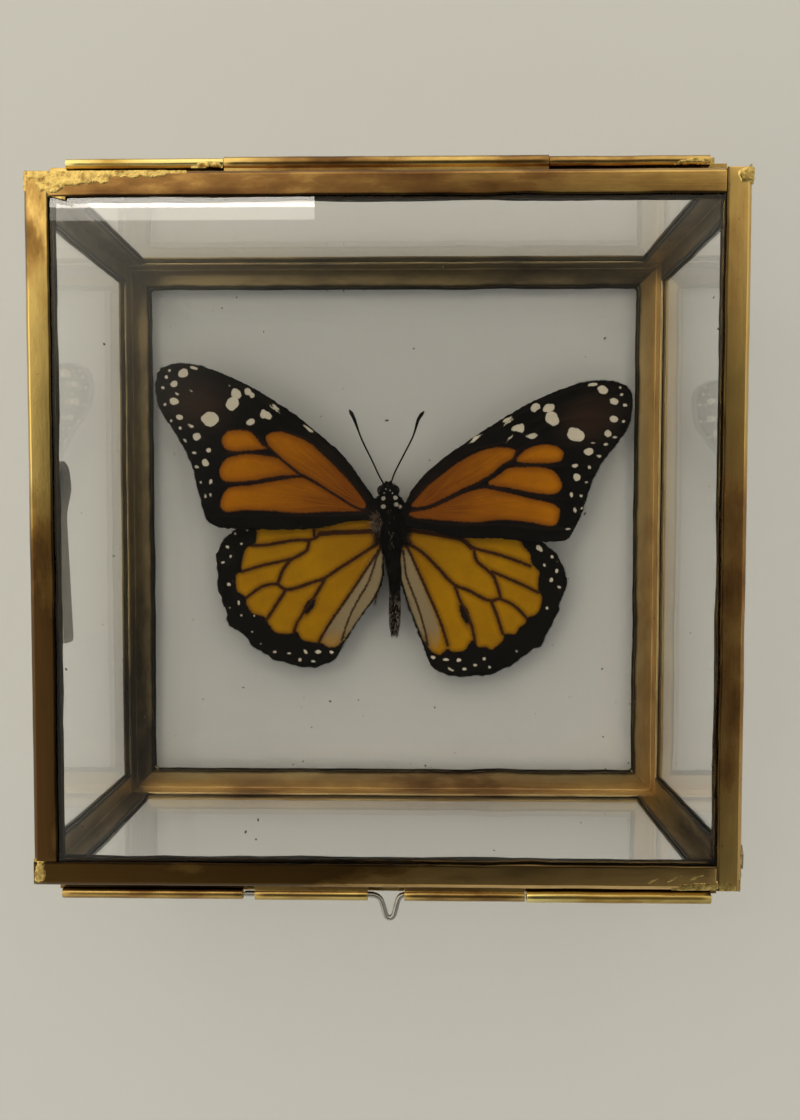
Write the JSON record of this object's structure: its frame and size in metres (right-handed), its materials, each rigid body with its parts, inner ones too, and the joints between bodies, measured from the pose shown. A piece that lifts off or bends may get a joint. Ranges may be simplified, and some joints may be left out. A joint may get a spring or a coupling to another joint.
{
  "type": "hinged glass display box with a mounted butterfly",
  "caption": "Square glass display box with soldered brass edges and a hinged lid, holding a spread orange and black butterfly glued to its back pane.",
  "frame": {"origin": "centre of the whole object's bounding box in X and Y, on the plane of the back of the case", "axes": "+Z out of the lid, +X to the right seen from the lid side with the hinge at the top, +Y towards the hinge"},
  "size_m": [0.1088, 0.1172, 0.046],
  "materials": {
    "case_brass": "dark grey-brown patina on soldered brass channel",
    "lid_brass": "worn polished brass channel, gold at the top, brown stains lower down",
    "hinge_brass": "bright drawn brass tube and strip with solder",
    "glass": "clear polished glass with a few specks",
    "steel_wire": "drawn spring wire",
    "forewing_scales": "dry wing scales, matt orange with black borders and white spots",
    "hindwing_scales": "dry wing scales, matt yellow-orange with black veins and border",
    "body_scales": "black fur and scales with white dots"
  },
  "bodies": {
    "case": {"back_glass": "glass", "back_edge_catch_side": "case_brass", "rim_catch_side": "case_brass", "post_catch_left": "case_brass", "pane_catch_side": "glass", "back_edge_right": "case_brass", "rim_right": "case_brass", "post_catch_right": "case_brass", "pane_right": "glass", "back_edge_hinge_side": "case_brass", "rim_hinge_side": "case_brass", "post_hinge_right": "case_brass", "pane_hinge_side": "glass", "back_edge_left": "case_brass", "rim_left": "case_brass", "post_hinge_left": "case_brass", "pane_left": "glass", "hinge_strip": "hinge_brass", "hinge_tube_left": "hinge_brass", "hinge_tube_right": "hinge_brass", "hinge_pin": "hinge_brass", "catch_strip": "hinge_brass", "catch_tube_left": "hinge_brass", "catch_tube_right": "hinge_brass", "side_clip": "hinge_brass", "hindwing_left": "hindwing_scales", "hindwing_right": "hindwing_scales", "forewing_left": "forewing_scales", "forewing_right": "forewing_scales", "body": "body_scales", "antenna_left": "body_scales", "antenna_right": "body_scales"},
    "lid": {"lid_frame_catch_side": "lid_brass", "lid_frame_right": "lid_brass", "lid_frame_hinge_side": "lid_brass", "lid_frame_left": "lid_brass", "lid_glass": "glass", "hinge_tube_middle": "hinge_brass", "catch_tube_middle_left": "hinge_brass", "catch_tube_middle_right": "hinge_brass", "catch_wire": "steel_wire"}
  },
  "joints": [
    {"name": "lid_hinge", "type": "hinge", "parent": "case", "child": "lid", "pos_m": [0, 0.05757, 0.04295], "axis": [-1, 0, 0], "range_deg": [0, 180]}
  ]
}
